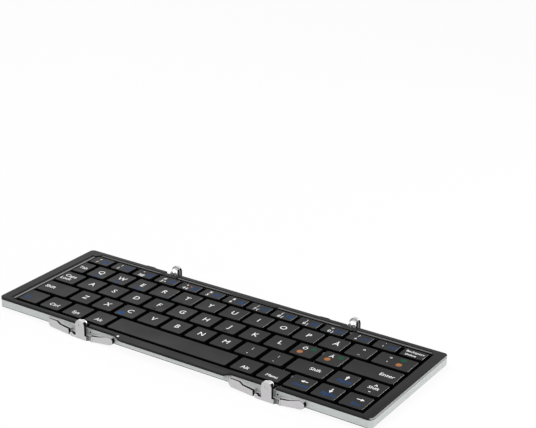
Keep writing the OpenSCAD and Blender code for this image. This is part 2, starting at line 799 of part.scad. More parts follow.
module escape_key() { keys(4, [0, 1]); }
module left_number_keys() { keys(4, [1, 2, 3]); }
module tab_key() { keys(3, [0, 0.65]); }
module left_upper_keys() { keys(3, [0.65, 1.6, 2.55, 3.5]); }
module caps_lock_key() { keys(2, [0, 1]); }
module left_home_keys() { keys(2, [1, 2, 3]); }
module left_shift_key() { keys(1, [0, 1.5]); }
module left_lower_keys() { keys(1, [1.5, 2.5, 3.5]); }
module left_bottom_keys() { keys(0, [0, 1, 2, 3]); }
module centre_number_keys() { keys(4, [for (c = [3:11]) c]); }
module centre_upper_keys() { keys(3, [for (c = [3.5:10.5]) c]); }
module centre_home_keys() { keys(2, [for (c = [3:11]) c]); }
module centre_lower_keys() { keys(1, [for (c = [3.5:10.5]) c]); }
module left_alt_key() { keys(0, [3, 4]); }
module space_bar() { keys(0, [4, 9]); }
module centre_bottom_keys() { keys(0, [9, 10, 11]); }
module right_number_keys() { keys(4, [11, 12, 13]); }
module backspace_key() { keys(4, [13, 14]); }
module right_upper_keys() { keys(3, [10.5, 11.5, 12.5, 14]); }
module right_home_key() { keys(2, [11, 12]); }
module enter_key() { keys(2, [12, 14]); }
module right_shift_key() { keys(1, [10.5, 12]); }
module corner_key() { keys(1, [13, 14]); }
module arrow_keys() {
    keys(1, [12, 13]);
    keys(0, [11, 12, 13, 14]);
}

left_base();
centre_base();
right_base();
left_deck();
centre_deck();
right_deck();
left_guide_plate();
centre_guide_plate();
right_guide_plate();
left_switch_panel();
centre_switch_panel();
right_switch_panel();
left_feet();
centre_feet();
right_feet();
left_screws();
centre_screws();
right_screws();
left_flex_cable();
right_flex_cable();
circuit_board();
battery_cell();
charging_socket();
indicator_lens();
left_front_wing_leaf();
left_front_centre_leaf();
left_front_pin();
left_back_wing_leaf();
left_back_centre_leaf();
left_back_pin();
right_front_wing_leaf();
right_front_centre_leaf();
right_front_pin();
right_back_wing_leaf();
right_back_centre_leaf();
right_back_pin();
escape_key();
left_number_keys();
tab_key();
left_upper_keys();
caps_lock_key();
left_home_keys();
left_shift_key();
left_lower_keys();
left_bottom_keys();
centre_number_keys();
centre_upper_keys();
centre_home_keys();
centre_lower_keys();
left_alt_key();
space_bar();
centre_bottom_keys();
right_number_keys();
backspace_key();
right_upper_keys();
right_home_key();
enter_key();
right_shift_key();
corner_key();
arrow_keys();
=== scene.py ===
"""Folding keyboard in three sections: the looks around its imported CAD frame.

Sizes are in millimetres unless a name says otherwise, and become metres when a piece is finished.
"""

import json
import math

import bmesh
import bpy
from mathutils import Matrix, Vector


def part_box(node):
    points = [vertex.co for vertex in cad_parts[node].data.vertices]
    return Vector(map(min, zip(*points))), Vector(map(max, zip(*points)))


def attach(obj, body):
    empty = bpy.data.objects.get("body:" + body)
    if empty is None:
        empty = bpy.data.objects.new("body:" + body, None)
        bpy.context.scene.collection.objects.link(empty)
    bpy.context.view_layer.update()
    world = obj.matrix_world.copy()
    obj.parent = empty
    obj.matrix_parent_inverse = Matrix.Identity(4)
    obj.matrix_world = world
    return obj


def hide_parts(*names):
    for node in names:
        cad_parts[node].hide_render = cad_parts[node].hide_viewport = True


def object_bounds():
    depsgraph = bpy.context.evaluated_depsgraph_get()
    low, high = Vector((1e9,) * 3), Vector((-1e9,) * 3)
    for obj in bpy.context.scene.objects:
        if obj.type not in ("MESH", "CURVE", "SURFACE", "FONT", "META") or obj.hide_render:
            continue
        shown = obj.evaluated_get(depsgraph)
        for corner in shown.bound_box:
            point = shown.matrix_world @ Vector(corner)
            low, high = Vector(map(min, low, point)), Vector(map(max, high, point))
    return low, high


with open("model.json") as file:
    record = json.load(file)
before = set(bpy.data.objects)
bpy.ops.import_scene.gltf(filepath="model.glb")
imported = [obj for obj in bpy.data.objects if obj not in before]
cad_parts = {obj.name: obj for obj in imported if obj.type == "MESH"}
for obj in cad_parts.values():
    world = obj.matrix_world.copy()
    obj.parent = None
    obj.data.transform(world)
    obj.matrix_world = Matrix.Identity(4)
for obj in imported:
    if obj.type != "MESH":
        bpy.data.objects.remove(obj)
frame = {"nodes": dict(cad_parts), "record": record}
CAD_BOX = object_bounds()

# One millimetre in metres
MM = 0.001

# Photograph's camera, solved from the deck's four corners: place in metres, turn in degrees, and lens and
# sensor in millimetres
CAMERA_PLACE = (0.4130, -0.5764, 0.3596)
CAMERA_TURN = (68.118, -0.543, 33.491)
CAMERA_LENS = 94.03
CAMERA_SENSOR = 36

# Places that the CAD gives
BOARD_HIGH = CAD_BOX[1]
KEY_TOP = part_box("space_bar")[1].z / MM
DECK_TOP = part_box("left_deck")[1].z / MM
CAP_HEIGHT = 1.8
CAP_LOW = KEY_TOP - CAP_HEIGHT

SECTIONS = ("left", "centre", "right")

# Hinge pins, along X
PIN_X = [
    sum(corner.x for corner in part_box(f"{side}_front_pin")) / 2 / MM
    for side in ("left", "right")
]

# Key grid, worked out from the boxes of the escape and enter caps
KEY_GAP = 1.5
KEY_ROUND = 1.0
FIRST_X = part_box("escape_key")[0].x / MM - KEY_GAP / 2
LAST_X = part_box("enter_key")[1].x / MM + KEY_GAP / 2
COLUMNS = 14
UNIT = (LAST_X - FIRST_X) / COLUMNS
ROW_NODES = ["space_bar", "left_shift_key", "caps_lock_key", "tab_key", "escape_key"]
ROW_LOW = [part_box(node)[0].y / MM for node in ROW_NODES]
ROW_HIGH = [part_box(node)[1].y / MM for node in ROW_NODES]

# Bounds that hold the walls of the opening round the keys, and no outer wall
FIELD_FRONT = ROW_LOW[0] - 3
FIELD_BACK = ROW_HIGH[-1] + 4.2
FIELD_LEFT = FIRST_X - 3.8
FIELD_RIGHT = LAST_X + 3

# Keys of each CAD node, whose body has the node's name: the row from the front, then the columns where
# its caps meet
KEY_ROWS = {
    "escape_key": [(4, [0, 1])],
    "left_number_keys": [(4, [1, 2, 3])],
    "tab_key": [(3, [0, 0.65])],
    "left_upper_keys": [(3, [0.65, 1.6, 2.55, 3.5])],
    "caps_lock_key": [(2, [0, 1])],
    "left_home_keys": [(2, [1, 2, 3])],
    "left_shift_key": [(1, [0, 1.5])],
    "left_lower_keys": [(1, [1.5, 2.5, 3.5])],
    "left_bottom_keys": [(0, [0, 1, 2, 3])],
    "centre_number_keys": [(4, list(range(3, 12)))],
    "centre_upper_keys": [(3, [c + 0.5 for c in range(3, 11)])],
    "centre_home_keys": [(2, list(range(3, 12)))],
    "centre_lower_keys": [(1, [c + 0.5 for c in range(3, 11)])],
    "left_alt_key": [(0, [3, 4])],
    "space_bar": [(0, [4, 9])],
    "centre_bottom_keys": [(0, [9, 10, 11])],
    "right_number_keys": [(4, [11, 12, 13])],
    "backspace_key": [(4, [13, 14])],
    "right_upper_keys": [(3, [10.5, 11.5, 12.5, 14])],
    "right_home_key": [(2, [11, 12])],
    "enter_key": [(2, [12, 14])],
    "right_shift_key": [(1, [10.5, 12])],
    "corner_key": [(1, [13, 14])],
    "arrow_keys": [(1, [12, 13]), (0, [11, 12, 13, 14])],
}


def column_x(column):
    return FIRST_X + column * UNIT


# Tools for modelling as by hand


def only(*objects):
    """Selects just these objects, the first one active."""
    bpy.ops.object.select_all(action="DESELECT")
    for obj in objects:
        obj.select_set(True)
    bpy.context.view_layer.objects.active = objects[0]


def start_edit(obj, kind="FACE"):
    only(obj)
    bpy.ops.object.mode_set(mode="EDIT")
    bpy.ops.mesh.select_mode(type=kind)
    bpy.ops.mesh.select_all(action="DESELECT")


def stop_edit():
    bpy.ops.object.mode_set(mode="OBJECT")


def pick(obj, kind, test):
    """In edit mode, selects the faces, edges or vertices that pass the test."""
    mesh = bmesh.from_edit_mesh(obj.data)
    for items in (mesh.faces, mesh.edges, mesh.verts):
        for item in items:
            item.select = False
    items = {"FACE": mesh.faces, "EDGE": mesh.edges, "VERT": mesh.verts}[kind]
    for item in items:
        if test(item):
            item.select_set(True)
    mesh.select_flush_mode()
    bmesh.update_edit_mesh(obj.data)


def apply_modifier(obj, kind, **settings):
    only(obj)
    modifier = obj.modifiers.new(kind.title(), kind)
    for name, value in settings.items():
        setattr(modifier, name, value)
    bpy.ops.object.modifier_apply(modifier=modifier.name)


def smooth_by_angle(obj, degrees=35):
    only(obj)
    bpy.ops.object.shade_smooth_by_angle(angle=math.radians(degrees))


def copy_of(obj, offset=(0, 0, 0)):
    """Copy with its own mesh, moved by offset in its mesh."""
    twin = obj.copy()
    twin.data = obj.data.copy()
    twin.data.transform(Matrix.Translation(Vector(offset)))
    bpy.context.scene.collection.objects.link(twin)
    return twin


def joined(objects, name):
    only(*objects)
    if len(objects) > 1:
        bpy.ops.object.join()
    whole = bpy.context.view_layer.objects.active
    whole.name = name
    whole.data.name = name
    return whole


def to_metres(obj):
    """Turns a piece modelled in millimetres into metres, its object at the origin."""
    obj.data.transform(Matrix.Scale(MM, 4) @ obj.matrix_world)
    obj.matrix_world = Matrix.Identity(4)
    return obj


def finish_piece(obj, body, material, stands_for=()):
    obj.data.materials.clear()
    obj.data.materials.append(material)
    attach(obj, body)
    if stands_for:
        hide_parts(*stands_for)
    return obj


def second_finish(obj, material, test):
    """Gives the faces that pass the test a second material."""
    obj.data.materials.append(material)
    for face in obj.data.polygons:
        if test(face):
            face.material_index = len(obj.data.materials) - 1


# Shader node groups that several finishes share


def new_group(name, inputs, outputs):
    group = bpy.data.node_groups.new(name, "ShaderNodeTree")
    for label, value in inputs:
        socket = group.interface.new_socket(label, in_out="INPUT", socket_type="NodeSocketFloat")
        socket.default_value = value
    for label, kind in outputs:
        group.interface.new_socket(label, in_out="OUTPUT", socket_type=kind)
    return group, group.nodes.new("NodeGroupInput"), group.nodes.new("NodeGroupOutput")


def sized_noise(group, size, place, detail):
    """Adds a noise whose grain has the size in millimetres that a socket gives."""
    per_metre = group.nodes.new("ShaderNodeMath")
    per_metre.operation = "DIVIDE"
    per_metre.inputs[0].default_value = 1 / MM
    noise = group.nodes.new("ShaderNodeTexNoise")
    noise.inputs["Detail"].default_value = detail
    group.links.new(size, per_metre.inputs[1])
    group.links.new(per_metre.outputs[0], noise.inputs["Scale"])
    group.links.new(place, noise.inputs["Vector"])
    return noise


def moulded_grain_group():
    """Fine speckle of moulded or blasted surfaces. Size is the grain in millimetres."""
    group, source, target = new_group(
        "moulded_grain",
        [("Size", 0.3), ("Contrast", 1.0)],
        [("Speck", "NodeSocketFloat"), ("Height", "NodeSocketFloat")],
    )
    nodes, links = group.nodes, group.links
    place = nodes.new("ShaderNodeTexCoord")
    noise = sized_noise(group, source.outputs["Size"], place.outputs["Object"], detail=3)
    noise.inputs["Roughness"].default_value = 0.6
    spread = nodes.new("ShaderNodeMath")
    spread.operation = "MULTIPLY_ADD"
    spread.inputs[2].default_value = 0
    links.new(noise.outputs[0], spread.inputs[0])
    links.new(source.outputs["Contrast"], spread.inputs[1])
    links.new(spread.outputs[0], target.inputs["Speck"])
    links.new(noise.outputs[0], target.inputs["Height"])
    return group


def handling_group():
    """Broad, faint patches where hands polish a surface or dull it."""
    group, source, target = new_group(
        "handling",
        [("Patch", 30.0), ("Low", 0.4), ("High", 0.6)],
        [("Value", "NodeSocketFloat")],
    )
    nodes, links = group.nodes, group.links
    place = nodes.new("ShaderNodeTexCoord")
    noise = sized_noise(group, source.outputs["Patch"], place.outputs["Object"], detail=4)
    spread = nodes.new("ShaderNodeMapRange")
    spread.inputs["From Min"].default_value = 0.35
    spread.inputs["From Max"].default_value = 0.65
    links.new(noise.outputs[0], spread.inputs["Value"])
    links.new(source.outputs["Low"], spread.inputs["To Min"])
    links.new(source.outputs["High"], spread.inputs["To Max"])
    links.new(spread.outputs[0], target.inputs["Value"])
    return group


def brushed_group():
    """Drawn-out streaks of brushed metal along X."""
    group, source, target = new_group(
        "brushed_metal",
        [("Pitch", 0.25), ("Stretch", 60.0)],
        [("Streak", "NodeSocketFloat")],
    )
    nodes, links = group.nodes, group.links
    place = nodes.new("ShaderNodeTexCoord")
    split = nodes.new("ShaderNodeSeparateXYZ")
    squeeze = nodes.new("ShaderNodeMath")
    squeeze.operation = "DIVIDE"
    merge = nodes.new("ShaderNodeCombineXYZ")
    noise = sized_noise(group, source.outputs["Pitch"], merge.outputs[0], detail=2)
    links.new(place.outputs["Object"], split.inputs[0])
    links.new(split.outputs["X"], squeeze.inputs[0])
    links.new(source.outputs["Stretch"], squeeze.inputs[1])
    links.new(squeeze.outputs[0], merge.inputs["X"])
    links.new(split.outputs["Y"], merge.inputs["Y"])
    links.new(split.outputs["Z"], merge.inputs["Z"])
    links.new(noise.outputs[0], target.inputs["Streak"])
    return group


GRAIN = moulded_grain_group()
HANDLING = handling_group()
BRUSHED = brushed_group()


def use_group(tree, group, **values):
    node = tree.nodes.new("ShaderNodeGroup")
    node.node_tree = group
    for label, value in values.items():
        node.inputs[label].default_value = value
    return node


def finish(name, dark, light, grain=0.3, relief=0.02, patch=25, rough=(0.4, 0.55), streaks=0,
           **shader_values):
    """A surface finish: two close colours mixed by a fine grain, with handled patches in its roughness.

    grain, patch and relief are in millimetres. streaks is the pitch of a brushed finish, or 0 for none.
    The other values go to the shader's own sockets.
    """
    material = bpy.data.materials.new(name)
    material.use_nodes = True
    tree = material.node_tree
    shader = tree.nodes["Principled BSDF"]
    for label, value in shader_values.items():
        shader.inputs[label.replace("_", " ")].default_value = value
    colour = tree.nodes.new("ShaderNodeMix")
    colour.data_type = "RGBA"
    colour.inputs["A"].default_value = (*dark, 1)
    colour.inputs["B"].default_value = (*light, 1)
    bump = tree.nodes.new("ShaderNodeBump")
    bump.inputs["Distance"].default_value = relief * MM
    if streaks:
        lines = use_group(tree, BRUSHED, Pitch=streaks)
        tree.links.new(lines.outputs["Streak"], colour.inputs["Factor"])
        tree.links.new(lines.outputs["Streak"], bump.inputs["Height"])
    else:
        speck = use_group(tree, GRAIN, Size=grain)
        tree.links.new(speck.outputs["Speck"], colour.inputs["Factor"])
        tree.links.new(speck.outputs["Height"], bump.inputs["Height"])
    worn = use_group(tree, HANDLING, Patch=patch, Low=rough[0], High=rough[1])
    tree.links.new(colour.outputs["Result"], shader.inputs["Base Color"])
    tree.links.new(worn.outputs["Value"], shader.inputs["Roughness"])
    tree.links.new(bump.outputs["Normal"], shader.inputs["Normal"])
    return material


def grey(value):
    return (value, value, value)


DECK_PLASTIC = finish("deck_plastic", (0.017, 0.017, 0.018), (0.027, 0.027, 0.028), grain=0.25,
                      relief=0.03, rough=(0.38, 0.48), Specular_IOR_Level=0.05)
# Painted highlights: the sloped ledges round the keys are lighter grey than the deck for the light they
# catch, and the inner strip of the left ledge is lighter still
BACK_LEDGE_PAINTED_HIGHLIGHT = finish("painted_highlight_back_ledge", grey(0.10), grey(0.14), grain=0.3, relief=0.01,
                       rough=(0.3, 0.4), Specular_IOR_Level=0.2)
LEFT_LEDGE_PAINTED_HIGHLIGHT = finish("painted_highlight_left_ledge_strip", grey(0.18), grey(0.25), grain=0.3, relief=0.01,
                     rough=(0.3, 0.4), Specular_IOR_Level=0.2)
# Painted highlight on the rounded right edges of the caps towards the right and the back
CHAMFER_PAINTED_HIGHLIGHT = finish("painted_highlight_chamfer", grey(0.13), grey(0.17), grain=0.3, relief=0.005,
                         rough=(0.2, 0.3))
KEY_PLASTIC = finish("key_plastic", (0.016, 0.016, 0.017), (0.026, 0.026, 0.027), grain=0.18,
                     relief=0.02, rough=(0.36, 0.48), patch=18, Specular_IOR_Level=0.05)
# Painted shade: near black for the sides of the caps, the walls of the opening round the keys and the
# gutter floors, where shade falls between the keys
CAP_SIDE_PAINTED_SHADE = finish("painted_shade_key_side", grey(0.0015), grey(0.003), grain=0.3,
                          rough=(0.6, 0.7), Specular_IOR_Level=0)
FLOOR_PLASTIC = finish("guide_plate_plastic", grey(0.002), grey(0.004), grain=0.4,
                       rough=(0.6, 0.75), Specular_IOR_Level=0)
BASE_METAL = finish("anodised_base", (0.50, 0.53, 0.52), (0.58, 0.61, 0.595), grain=0.12, relief=0.01,
                    rough=(0.5, 0.6), Metallic=0.4)
HINGE_METAL = finish("satin_hinge_metal", (0.52, 0.51, 0.52), (0.60, 0.59, 0.60), grain=0.2,
                     relief=0.015, rough=(0.45, 0.55), Metallic=0.6)
# Painted shade: the hinge metal darkened in the hollow necks of the posts
NECK_PAINTED_SHADE = finish("painted_shade_neck", (0.10, 0.105, 0.105), (0.15, 0.155, 0.155), grain=0.3, relief=0.01,
                    rough=(0.45, 0.6), Metallic=0.5)
# Painted shade: near black for the cheeks beside the hinge ears, the arms' far ends, the line along the
# arms' tops and the insides of the blind holes
CHEEK_PAINTED_SHADE = finish("painted_shade_cheek", grey(0.002), grey(0.006), grain=0.3, relief=0.01,
                     rough=(0.5, 0.6), Specular_IOR_Level=0.05)
# Painted shade: near black for the bevel along the underside of the bases
LOW_EDGE_PAINTED_SHADE = finish("painted_shade_low_edge", grey(0.012), grey(0.02), grain=0.3, relief=0.01,
                        rough=(0.5, 0.6), Specular_IOR_Level=0.1)
SEAM_SHADE = finish("seam_shade", (0.10, 0.10, 0.09), (0.16, 0.16, 0.15), grain=0.5, relief=0.01,
                    rough=(0.5, 0.6), Specular_IOR_Level=0.1)
# Painted sheen: grey on the black outer right wall of the decks for a lamp's reflection, and darker
# painted shade on its lower half
RIM_PAINTED_SHEEN = finish("painted_sheen_rim", grey(0.30), grey(0.36), grain=0.3, relief=0.005,
                   rough=(0.3, 0.4))
RIM_PAINTED_SHADE = finish("painted_shade_rim_low", (0.15, 0.155, 0.15), (0.20, 0.205, 0.20), grain=0.3, relief=0.005,
                   rough=(0.3, 0.4))
PIN_CHROME = finish("pin_chrome", grey(0.86), grey(0.94), grain=0.5, relief=0.003,
                    rough=(0.26, 0.36), Metallic=0.8)
SCREW_STEEL = finish("screw_steel", grey(0.5), grey(0.62), streaks=0.2, rough=(0.3, 0.4),
                     Metallic=1.0)
FOOT_RUBBER = finish("foot_rubber", grey(0.018), grey(0.03), grain=0.6, relief=0.04,
                     rough=(0.75, 0.9))
LENS_PLASTIC = finish("indicator_lens", (0.85, 0.86, 0.85), (0.92, 0.93, 0.92), grain=0.3, relief=0.002,
                      rough=(0.12, 0.2))
WHITE_INK = finish("white_ink", grey(0.82), grey(0.92), grain=0.15, relief=0.002,
                   rough=(0.5, 0.6))
BLUE_INK = finish("blue_ink", (0.004, 0.046, 0.16), (0.007, 0.074, 0.24), grain=0.15, relief=0.002,
                  rough=(0.5, 0.6), Specular_IOR_Level=0.05)
ORANGE_INK = finish("orange_ink", (0.30, 0.10, 0.025), (0.40, 0.15, 0.04), grain=0.15, relief=0.002,
                    rough=(0.5, 0.6), Specular_IOR_Level=0.2)
GREEN_INK = finish("green_ink", (0.003, 0.05, 0.022), (0.006, 0.08, 0.035), grain=0.15, relief=0.002,
                   rough=(0.5, 0.6), Specular_IOR_Level=0.05)
PANEL_SHEET = finish("switch_panel_sheet", (0.05, 0.07, 0.04), (0.07, 0.09, 0.06), grain=0.5)
FLEX_FILM = finish("flex_film", (0.45, 0.17, 0.02), (0.55, 0.22, 0.04), grain=0.8, rough=(0.2, 0.3))
BOARD_MASK = finish("board_mask", (0.008, 0.06, 0.02), (0.014, 0.09, 0.03), grain=0.4,
                    rough=(0.25, 0.35))
BATTERY_FOIL = finish("battery_foil", (0.5, 0.5, 0.52), (0.6, 0.6, 0.62), grain=1.2, Metallic=0.9)

# Finishes of the nodes that stay as the CAD made them, by the end of their names
INSIDE_FINISHES = {
    "switch_panel": PANEL_SHEET,
    "flex_cable": FLEX_FILM,
    "circuit_board": BOARD_MASK,
    "battery_cell": BATTERY_FOIL,
    "charging_socket": SCREW_STEEL,
    "screws": SCREW_STEEL,
    "indicator_lens": LENS_PLASTIC,
    "guide_plate": FLOOR_PLASTIC,
}


# Metal and plastic shells: the frame's own solids with merged faces and rounded edges

BASE_EDGE = 0.18
DECK_EDGE = 0.12
LEAF_EDGE = 0.18
PIN_EDGE = 0.12
FOOT_EDGE = 0.4

# Corners nearer than MERGE become one, faces within FLAT_ANGLE degrees become one face, and edges sharper
# than SHARP_ANGLE degrees are rounded
MERGE = 0.002
FLAT_ANGLE = 0.5
SHARP_ANGLE = 40


def body_of_node(node):
    for body, members in frame["record"]["behaviour"]["bodies"].items():
        if node in members:
            return body


def rounded_copy(node, name, edge, segments=2):
    """Copy of a CAD solid with its faces merged and its sharp edges rounded to edge millimetres."""
    obj = copy_of(frame["nodes"][node])
    obj.parent = None
    # What the frame notes on its own node doesn't hold for the copy
    for key in [key for key in obj.keys() if key.startswith("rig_")]:
        del obj[key]
    obj.name = name
    obj.data.transform(Matrix.Scale(1 / MM, 4))
    start_edit(obj, "VERT")
    bpy.ops.mesh.select_all(action="SELECT")
    bpy.ops.mesh.remove_doubles(threshold=MERGE)
    bpy.ops.mesh.dissolve_limited(angle_limit=math.radians(FLAT_ANGLE))
    stop_edit()
    apply_modifier(obj, "BEVEL", width=edge, segments=segments, limit_method="ANGLE",
                   angle_limit=math.radians(SHARP_ANGLE), use_clamp_overlap=True, miter_outer="MITER_ARC")
    smooth_by_angle(obj, 20)
    return to_metres(obj)


def cut_along(obj, place, normal):
    """Cuts the faces of a shell along a plane, and keeps both sides."""
    start_edit(obj, "FACE")
    bpy.ops.mesh.select_all(action="SELECT")
    bpy.ops.mesh.bisect(plane_co=place, plane_no=normal)
    stop_edit()


# Slopes of faces, as the upward part of their normals
UPRIGHT = 0.3
LEVEL = 0.99
LEFT_LEDGE_SLOPE = 0.95
BACK_LEDGE_SLOPE = 0.85
LOW_EDGE_SLOPES = (-0.95, -0.3)

# Heights that the sloped ledges with their painted highlight, the inner strip with its lighter painted
# highlight, the floors of the gutters and the lower half of the right rim, which gets painted shade under
# the rim's painted sheen, stay below, and how far in the rim reaches
LEDGE_TOP = DECK_TOP - 0.3
LEDGE_LINE = DECK_TOP - 0.62
GUTTER_TOP = DECK_TOP - 0.9
RIM_LINE = DECK_TOP - 0.7
RIM_DEPTH = 3

# Heights at which a deck's faces are cut, so that one finish ends there and another starts
DECK_CUTS = {"left": LEDGE_LINE, "right": RIM_LINE}

# Blind holes beside the hinges: distance from the pin along X and height, reach, and largest face
PIN_HOLE = (4.8, 4.3)
PIN_HOLE_REACH = 0.7
PIN_HOLE_FACE = 1.2


def nearest_pin(face):
    """Signed distance along X, in millimetres, from the nearest hinge pin."""
    return min((face.center.x / MM - x for x in PIN_X), key=abs)


def in_opening(face):
    """Whether an upright face of a deck is a wall of the opening round the keys, which gets painted
    shade.
    """
    x, y = face.center.x / MM, face.center.y / MM
    return abs(face.normal.z) < UPRIGHT and FIELD_LEFT < x < FIELD_RIGHT and FIELD_FRONT < y < FIELD_BACK


def in_gutter(face):
    """Whether a level face of a deck is the floor of a gutter beside the keys, which gets painted shade.
    """
    return face.normal.z > LEVEL and face.center.z < GUTTER_TOP * MM


# Faces of the back ledge, which get a painted highlight
def on_back_ledge(face):
    return BACK_LEDGE_SLOPE < face.normal.z < LEFT_LEDGE_SLOPE and face.center.z < LEDGE_TOP * MM


def on_left_ledge(face):
    """Whether a face is the inner strip of the left ledge, which is gentler than the back one and gets a
    lighter painted highlight.
    """
    return LEFT_LEDGE_SLOPE < face.normal.z < LEVEL and face.center.z < LEDGE_LINE * MM


def on_right_rim(face):
    """Whether a face of a deck belongs to its outer right wall, which gets a painted sheen, with painted
    shade on its lower half.
    """
    return face.normal.x > 0.5 and face.center.x > BOARD_HIGH.x - RIM_DEPTH * MM


def on_low_edge(face):
    """Whether a face of a base is in the bevel along its underside, which gets painted shade."""
    return LOW_EDGE_SLOPES[0] < face.normal.z < LOW_EDGE_SLOPES[1]


def in_pin_hole(face):
    """Whether a face of a base lies in one of the small blind holes beside the front hinges, whose
    insides get painted shade.
    """
    away = math.hypot(nearest_pin(face) - PIN_HOLE[0], face.center.z / MM - PIN_HOLE[1])
    inner = abs(face.normal.y) < 0.9 or face.area < PIN_HOLE_FACE * MM * MM
    return away < PIN_HOLE_REACH and face.center.y < 0 and inner


def make_base(section):
    node = f"{section}_base"
    shell = rounded_copy(node, f"{node}_shell", BASE_EDGE)
    finish_piece(shell, body_of_node(node), BASE_METAL, [node])
    # Painted shade on the bevel along the underside
    second_finish(shell, LOW_EDGE_PAINTED_SHADE, on_low_edge)
    # Painted shade inside the blind holes
    second_finish(shell, CHEEK_PAINTED_SHADE, in_pin_hole)


def make_deck(section):
    node = f"{section}_deck"
    shell = rounded_copy(node, f"{node}_shell", DECK_EDGE)
    if section in DECK_CUTS:
        cut_along(shell, (0, 0, DECK_CUTS[section] * MM), (0, 0, 1))
    finish_piece(shell, body_of_node(node), DECK_PLASTIC, [node])
    # Painted highlights on the sloped ledges
    second_finish(shell, BACK_LEDGE_PAINTED_HIGHLIGHT, on_back_ledge)
    second_finish(shell, LEFT_LEDGE_PAINTED_HIGHLIGHT, on_left_ledge)
    # Painted shade on the walls of the opening and the floors of the gutters
    second_finish(shell, CAP_SIDE_PAINTED_SHADE, lambda face: in_opening(face) or in_gutter(face))
    # Painted sheen on the outer right wall, and painted shade on its lower half
    second_finish(shell, RIM_PAINTED_SHEEN, on_right_rim)
    second_finish(shell, RIM_PAINTED_SHADE, lambda face: on_right_rim(face) and face.center.z < RIM_LINE * MM)


def make_shells():
    for section in SECTIONS:
        make_base(section)
        make_deck(section)


# Hinges, in millimetres. From a pin along X: ears, necks of the posts, and where the arms end
EAR_REACH = 4.5
NECK_REACH = (4.2, 8)
ARM_END = 20
ARM_TOP = 7.5

# From the board's middle outwards: the line of painted shade along the arms' tops, the necks, and the
# pins' flat ends
SHADE_LINE_OUT = BOARD_HIGH.y / MM - 1.5
NECK_OUT = BOARD_HIGH.y / MM - 1.3
RIVET_OUT = BOARD_HIGH.y / MM - 0.5


def in_neck(face):
    """Whether a face belongs to the hollow neck between a post's foot and its arm, which gets painted
    shade.
    """
    return (NECK_REACH[0] < nearest_pin(face) < NECK_REACH[1] and abs(face.center.y) > NECK_OUT * MM
            and abs(face.normal.z) < UPRIGHT and abs(face.normal.y) < 0.995)


def is_painted_shade(face):
    """Whether a face of a leaf gets painted shade: a cheek beside an ear, an arm's far end, or in the
    line on its top.
    """
    across = abs(nearest_pin(face))
    outside = abs(face.center.y) > SHADE_LINE_OUT * MM
    if face.normal.z > 0.7:
        return outside and face.center.z < ARM_TOP * MM
    return abs(face.normal.x) > 0.6 and (outside or across < EAR_REACH or across > ARM_END)


def on_rivet(face):
    """Whether a face of a pin is at its flat outer end."""
    return abs(face.center.y) > RIVET_OUT * MM


def make_hinges():
    for node in frame["nodes"]:
        if node.endswith("_leaf"):
            leaf = rounded_copy(node, node.replace("_leaf", "_hinge_arm"), LEAF_EDGE)
            side = math.copysign(SHADE_LINE_OUT * MM, sum(vertex.co.y for vertex in leaf.data.vertices))
            cut_along(leaf, (0, side, 0), (0, 1, 0))
            finish_piece(leaf, body_of_node(node), HINGE_METAL, [node])
            # Painted shade on the cheeks, the arms' far ends and the line along the arms' tops
            second_finish(leaf, CHEEK_PAINTED_SHADE, is_painted_shade)
            # Painted shade in the hollow necks
            second_finish(leaf, NECK_PAINTED_SHADE, in_neck)
        if node.endswith("_pin"):
            pin = rounded_copy(node, node.replace("_pin", "_hinge_pin"), PIN_EDGE)
            finish_piece(pin, body_of_node(node), PIN_CHROME, [node])
            second_finish(pin, HINGE_METAL, on_rivet)


# Short seam lines of the hinge plates in the front side: base, hinge, start and end from its pin along X
PLATE_SEAMS = [("left_base", 0, -14.2, -9.0), ("centre_base", 0, 6.6, 10.8),
               ("centre_base", 1, -14.2, -9.0), ("right_base", 1, 6.6, 12.4)]
SEAM_Z = 4.15
SEAM_H = 0.2
SEAM_DEPTH = 0.2
SEAM_PROUD = 0.02


def make_plate_seams():
    """Thin dark lines let into the front side beside the posts."""
    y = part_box("left_base")[0].y / MM + SEAM_DEPTH / 2 - SEAM_PROUD
    for node, hinge, start, end in PLATE_SEAMS:
        x = PIN_X[hinge] + (start + end) / 2
        bpy.ops.mesh.primitive_cube_add(size=1, location=(x, y, SEAM_Z),
                                        scale=(end - start, SEAM_DEPTH, SEAM_H))
        line = bpy.context.object
        bpy.ops.object.transform_apply(location=True, scale=True)
        line.name = f"{node}_plate_seam_{hinge}"
        finish_piece(to_metres(line), body_of_node(node), SEAM_SHADE)


def make_feet():
    for section in SECTIONS:
        node = f"{section}_feet"
        foot = rounded_copy(node, f"{section}_rubber_feet", FOOT_EDGE, 3)
        finish_piece(foot, body_of_node(node), FOOT_RUBBER, [node])


def paint_inside():
    """Finishes the nodes that no piece of this scene replaces."""
    for name, node in frame["nodes"].items():
        for ending, material in INSIDE_FINISHES.items():
            if name.endswith(ending):
                node.data.materials.clear()
                node.data.materials.append(material)


# Key caps

# How much of a face's normal points up, or down, for a face that counts as a cap's top or underside
FACING = 0.9

# How far the edges of a cap's top stand in from its foot
DRAFT_LEFT = 0.6
DRAFT_RIGHT = 0.8
DRAFT_FRONT = 1.0
DRAFT_BACK = 0.35

# Rounding of a cap's top edges, and the rim round its shallow dish
CAP_EDGE = 0.18
CAP_RIM = 0.7
CAP_DISH = 0.07

# Hollow below a cap, where its collar and screws go when it is pressed
CAP_WALL = 1.0
CAP_ROOF = 0.8


